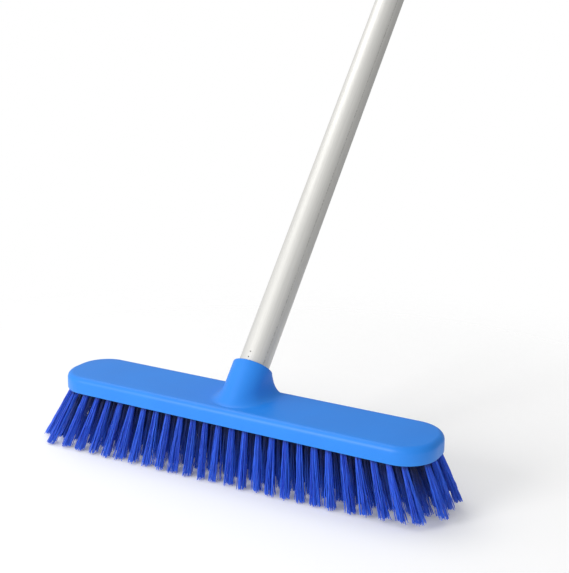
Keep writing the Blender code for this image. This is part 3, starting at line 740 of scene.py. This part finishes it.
# Black nitrile rubber: matt, a shade off black, with a bloom of dusty grey.
washer_rubber, tree, shader = new_material("nitrile_rubber_black")
place = node(tree, "ShaderNodeTexCoord").outputs["Object"]
bloom = node(tree, "ShaderNodeTexNoise", Vector=place, Scale=400.0, Detail=3.0)
tone = node(tree, "ShaderNodeMix", {"data_type": "RGBA"}, Factor=bloom,
            A=linear("#141416"), B=linear("#242527"))
tree.links.new(tone.outputs["Result"], shader.inputs["Base Color"])
shader.inputs["Roughness"].default_value = 0.8
seal_washer.data.materials.append(washer_rubber)
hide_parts("seal_washer")
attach(seal_washer, "washer")

# ---------------------------------------------------------------------------------------------
# Pole. Drawn aluminium tube, satin anodised, cut square and deburred. Two small punched dents
# just above the socket pin it to the plug. Drawing and handling leave fine lengthwise lines.
# ---------------------------------------------------------------------------------------------

PUNCH_RADIUS = 0.0009
PUNCH_TAPER = 0.7                   # the dent's inner end as a share of its mouth
PUNCH_HEIGHT = 0.004
PUNCH_SPACING = 0.0056
END_BREAK = 0.0003

builder = bmesh.new()
outer = [(POLE_RADIUS - END_BREAK, pole_top), (POLE_RADIUS, pole_top - END_BREAK),
         (POLE_RADIUS, pole_bottom + END_BREAK), (POLE_RADIUS - END_BREAK, pole_bottom)]
inner = [(POLE_RADIUS - POLE_WALL, pole_bottom), (POLE_RADIUS - POLE_WALL, pole_top)]
closed_ring(builder, outer + inner, 128)
to_pole_frame(builder)
pole_tube = new_object("drawn_tube", builder)
builder = bmesh.new()
for k in range(2):
    place = Matrix.Translation((0, -POLE_RADIUS, SOCKET_LENGTH + PUNCH_HEIGHT + k * PUNCH_SPACING))
    bmesh.ops.create_cone(builder, cap_ends=True, segments=20, radius1=PUNCH_RADIUS,
                          radius2=PUNCH_RADIUS * PUNCH_TAPER, depth=POLE_WALL * 3,
                          matrix=place @ Matrix.Rotation(-math.pi / 2, 4, "X"))
to_pole_frame(builder)
cut(pole_tube, new_object("punch_tool", builder))
crisp(pole_tube, 40)

# Satin anodised aluminium: pale warm grey, part metal, since its etched film scatters light like
# a thin pale coat. Lengthwise draw lines leave streaks about 1 mm wide, drawn as coarse as they
# need to show, and one faint darker line, broken every few millimetres, runs down its length.
tube_satin, tree, shader = new_material("satin_anodised_aluminium")
place = node(tree, "ShaderNodeTexCoord").outputs["Object"]
lengthwise = node(tree, "ShaderNodeMapping", {"vector_type": "TEXTURE"}, Vector=place,
                  Location=tuple(POLE_FRAME.translation), Rotation=(-TILT, 0, 0))
streaks = node(tree, VECTORS, "MULTIPLY", lengthwise, (900.0, 900.0, 12.0))
lines = node(tree, "ShaderNodeTexNoise", Vector=streaks, Scale=1.0, Detail=3.0)
tone = node(tree, "ShaderNodeMix", {"data_type": "RGBA"}, Factor=lines,
            A=linear("#D2D1CD"), B=linear("#E4E3DF"))
# A faint darker line down the tube, broken up by noise.
beside = node(tree, VECTORS, "DOT_PRODUCT", lengthwise, (0.44, 0.90, 0.0)).outputs["Value"]
beside = node(tree, MATHS, "ABSOLUTE", beside)
on_line = node(tree, "ShaderNodeMapRange", Value=beside, From_Min=0.0008, From_Max=0.0003)
dots = node(tree, "ShaderNodeTexNoise", Vector=place, Scale=650.0, Detail=1.0)
broken = node(tree, "ShaderNodeMapRange", Value=dots, From_Min=0.40, From_Max=0.60)
dark_line_mask = node(tree, MATHS, "MULTIPLY", on_line, broken)
dark_line_tone = node(tree, "ShaderNodeMix", {"data_type": "RGBA"}, Factor=dark_line_mask, A=tone,
             B=linear("#BDBCB8"))
tree.links.new(dark_line_tone.outputs["Result"], shader.inputs["Base Color"])
gloss = node(tree, "ShaderNodeMapRange", Value=lines, To_Min=0.42, To_Max=0.52)
tree.links.new(gloss.outputs["Result"], shader.inputs["Roughness"])
bump = node(tree, "ShaderNodeBump", Strength=0.06, Distance=0.0002, Height=lines)
tree.links.new(bump.outputs["Normal"], shader.inputs["Normal"])
shader.inputs["Metallic"].default_value = 0.6
pole_tube.data.materials.clear()
pole_tube.data.materials.append(tube_satin)
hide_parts("pole_tube")
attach(pole_tube, "pole")

# ---------------------------------------------------------------------------------------------
# Grip sleeve and hanging cap. Matt blue plastic mouldings at the pole's upper end: a ribbed
# sleeve pushed over the tube, and a cap with a flat eye pressed into it.
# ---------------------------------------------------------------------------------------------

grip_bottom, grip_top = along_pole("grip_sleeve")
GRIP_INNER = POLE_RADIUS + GAP
GRIP_OUTER = GRIP_INNER + 0.0022
GRIP_RIB = 0.0006
GRIP_END = 0.006                    # plain sleeve at each end, beyond the ribs
RIB_COUNT = 22
RIB_STEPS = 6
RIB_HALF = 0.28                     # half a rib's foot as a share of the ribs' pitch
# Rolled end of the sleeve: how far in from the outside, and how far from the end.
END_ROLL = ((0.0012, 0.0), (0.0003, 0.0005), (0.0, 0.0015))

builder = bmesh.new()
pitch = (grip_top - grip_bottom - 2 * GRIP_END) / RIB_COUNT
profile = [(GRIP_OUTER - inset, grip_top - down) for inset, down in END_ROLL]
for k in range(RIB_COUNT):
    middle = grip_top - GRIP_END - pitch * (k + 0.5)
    for step in range(RIB_STEPS + 1):
        roll = math.pi * step / RIB_STEPS
        profile.append((GRIP_OUTER + GRIP_RIB * math.sin(roll),
                        middle + pitch * RIB_HALF * math.cos(roll)))
profile += [(GRIP_OUTER - inset, grip_bottom + up) for inset, up in reversed(END_ROLL)]
profile += [(GRIP_INNER, grip_bottom), (GRIP_INNER, grip_top)]
closed_ring(builder, profile, 72)
to_pole_frame(builder)
grip = new_object("ribbed_grip", builder)
crisp(grip, 50)

# Matt polypropylene with a softer, darker blue than the block, and a fine leathery grain whose
# pores, under 1 mm, are drawn as coarse as they need to show.
grip_matt, tree, shader = new_material("moulded_polypropylene_matt_blue")
place = node(tree, "ShaderNodeTexCoord").outputs["Object"]
cloud = node(tree, "ShaderNodeTexNoise", Vector=place, Scale=60.0, Detail=3.0)
tone = node(tree, "ShaderNodeMix", {"data_type": "RGBA"}, Factor=cloud,
            A=linear("#1A63CE"), B=linear("#2370DC"))
tree.links.new(tone.outputs["Result"], shader.inputs["Base Color"])
pores = node(tree, "ShaderNodeTexVoronoi", Vector=place, Scale=1400.0).outputs["Distance"]
bump = node(tree, "ShaderNodeBump", Strength=0.15, Distance=0.0003, Height=pores)
tree.links.new(bump.outputs["Normal"], shader.inputs["Normal"])
shader.inputs["Roughness"].default_value = 0.55
grip.data.materials.append(grip_matt)
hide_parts("grip_sleeve")
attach(grip, "pole")

cap_bottom, cap_end = along_pole("hanging_cap")
CAP_FLANGE = 0.0035
CAP_DOME = 0.006
CAP_FLAT = 0.0008                   # small flat in the middle of the dome
CAP_EDGE = 0.0004
EYE_WIDTH = 0.020
EYE_THICKNESS = 0.007
EYE_HOLE_RADIUS = 0.0055
EYE_ROOT = 0.0015                   # eye's lower end above the cap's base
EYE_EDGE = 0.0012
DOME_STEPS = 9
EYE_STEPS = 40
cap_base = pole_top + GAP
dome_foot = cap_base + CAP_FLANGE

builder = bmesh.new()
dome = []
for k in range(DOME_STEPS + 1):
    roll = math.pi / 2 * k / DOME_STEPS
    dome.append((CAP_FLAT + (GRIP_OUTER - CAP_FLAT) * math.sin(roll),
                 dome_foot + CAP_DOME * math.cos(roll)))
skin(builder, turned_rings(dome + [(GRIP_OUTER, cap_base + CAP_EDGE),
                                   (GRIP_OUTER - CAP_EDGE, cap_base), (SPIGOT_RADIUS, cap_base),
                                   (SPIGOT_RADIUS, cap_bottom + 0.002),
                                   (SPIGOT_RADIUS - SPIGOT_LEAD, cap_bottom)], 72))
cap = new_object("hanging_cap_body", builder)

builder = bmesh.new()
half = EYE_WIDTH / 2
centre = cap_end - half
outer = [(-half, cap_base + EYE_ROOT), (half, cap_base + EYE_ROOT)]
outer += [(half * math.cos(math.pi * i / EYE_STEPS), centre + half * math.sin(math.pi * i / EYE_STEPS))
          for i in range(EYE_STEPS + 1)]
sides = [[builder.verts.new((x, y, z)) for y, z in outer]
         for x in (-EYE_THICKNESS / 2, EYE_THICKNESS / 2)]
for i in range(len(outer)):
    j = (i + 1) % len(outer)
    builder.faces.new((sides[0][i], sides[0][j], sides[1][j], sides[1][i]))
builder.faces.new(sides[1])
builder.faces.new(list(reversed(sides[0])))
bmesh.ops.recalc_face_normals(builder, faces=builder.faces)
plate = new_object("eye_plate", builder)
builder = bmesh.new()
bmesh.ops.create_cone(builder, cap_ends=True, segments=48, radius1=EYE_HOLE_RADIUS,
                      radius2=EYE_HOLE_RADIUS, depth=EYE_THICKNESS * 2,
                      matrix=Matrix.Translation((0, 0, centre)) @ Matrix.Rotation(math.pi / 2, 4, "Y"))
cut(plate, new_object("eye_drill", builder))
soften = plate.modifiers.new("soften", "BEVEL")
soften.width = EYE_EDGE
soften.segments = 3
soften.limit_method = "ANGLE"
soften.angle_limit = math.radians(50)
apply_modifiers(plate)
join = cap.modifiers.new("join", "BOOLEAN")
join.object = plate
join.operation = "UNION"
join.solver = "EXACT"
apply_modifiers(cap)
bpy.data.objects.remove(plate, do_unlink=True)
cap.data.transform(POLE_FRAME)
crisp(cap, 40)
cap.data.materials.clear()
cap.data.materials.append(grip_matt)
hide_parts("hanging_cap")
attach(cap, "pole")

# ---------------------------------------------------------------------------------------------
# Floor, light and camera. The brush stands on its tips on white paper with a white backdrop, lit
# by two softboxes; the camera stands in front and a little above, on the brush's right.
# ---------------------------------------------------------------------------------------------

FLOOR_DEPTH = TRIM_LENGTH + 0.0016  # just under the lowest bristle tip
FLOOR_RADIUS = 1.6

builder = bmesh.new()
bmesh.ops.create_circle(builder, cap_ends=True, segments=64, radius=FLOOR_RADIUS,
                        matrix=Matrix.Translation((0, 0, -FLOOR_DEPTH)))
floor = new_object("studio_floor", builder)

# Matt white paper on a dim light table, which keeps it white round the brush. It fades evenly
# into the white backdrop further away, with no horizon line.
paper, tree, shader = new_material("white_studio_paper")
shader.inputs["Base Color"].default_value = linear("#FAFAFA")
shader.inputs["Roughness"].default_value = 0.95
shader.inputs["Emission Color"].default_value = linear("#FFFFFF")
shader.inputs["Emission Strength"].default_value = 0.10
place = node(tree, "ShaderNodeTexCoord").outputs["Object"]
away = node(tree, VECTORS, "LENGTH", place).outputs["Value"]
fade = node(tree, "ShaderNodeMapRange", {"interpolation_type": "SMOOTHSTEP"}, Value=away,
            From_Min=0.24, From_Max=0.75)
nothing = node(tree, "ShaderNodeBsdfTransparent")
blended = node(tree, "ShaderNodeMixShader", None, fade, shader, nothing)
tree.links.new(blended.outputs["Shader"], tree.nodes["Material Output"].inputs["Surface"])
floor.data.materials.append(paper)

# The backdrop is white to the eye. As a light it is bright in front on the left, dim behind.
world = bpy.data.worlds.new("studio")
bpy.context.scene.world = world
world.use_nodes = True
tree = world.node_tree
backdrop = tree.nodes["Background"]
backdrop.inputs["Color"].default_value = (1, 1, 1, 1)
heading = node(tree, "ShaderNodeTexCoord").outputs["Generated"]
facing = node(tree, VECTORS, "DOT_PRODUCT", heading, (-0.50, -0.86, 0.08)).outputs["Value"]
fill = node(tree, "ShaderNodeMapRange", Value=facing, From_Min=-0.8, From_Max=0.8, To_Min=0.35,
            To_Max=0.92)
seen = node(tree, "ShaderNodeLightPath").outputs["Is Camera Ray"]
strength = node(tree, "ShaderNodeMapRange", Value=seen, To_Min=fill, To_Max=1.0)
tree.links.new(strength.outputs["Result"], backdrop.inputs["Strength"])


def softbox(name, place, target, size, power):
    """A square area light aimed at a point."""
    lamp = bpy.data.lights.new(name, "AREA")
    lamp.size = size
    lamp.energy = power
    made = bpy.data.objects.new(name, lamp)
    made.location = place
    made.rotation_euler = (Vector(target) - Vector(place)).to_track_quat("-Z", "Y").to_euler()
    bpy.context.scene.collection.objects.link(made)


softbox("key_front_left", (-0.75, -1.8, 0.85), (0, 0, 0.02), 0.9, 20)
softbox("top", (-0.9, 0.3, 1.7), (0, 0, 0), 1.0, 7)
bpy.context.scene.view_settings.view_transform = "Standard"

CAMERA_PLACE = Vector((0.49447, -0.78863, 0.36582))
CAMERA_RIGHT = Vector((0.868555, 0.495566, 0.005078))
CAMERA_AHEAD = Vector((-0.478652, 0.841478, -0.250614))
SENSOR_WIDTH = 36.0
LENS = 65.696
camera = bpy.data.objects.new("camera", bpy.data.cameras.new("camera"))
bpy.context.scene.collection.objects.link(camera)
up = CAMERA_RIGHT.cross(CAMERA_AHEAD)
turn = Matrix((CAMERA_RIGHT, up, -CAMERA_AHEAD)).transposed().to_4x4()
camera.matrix_world = Matrix.Translation(CAMERA_PLACE) @ turn
camera.data.sensor_width = SENSOR_WIDTH
camera.data.lens = LENS
camera.data.clip_start = 0.01
bpy.context.scene.camera = camera
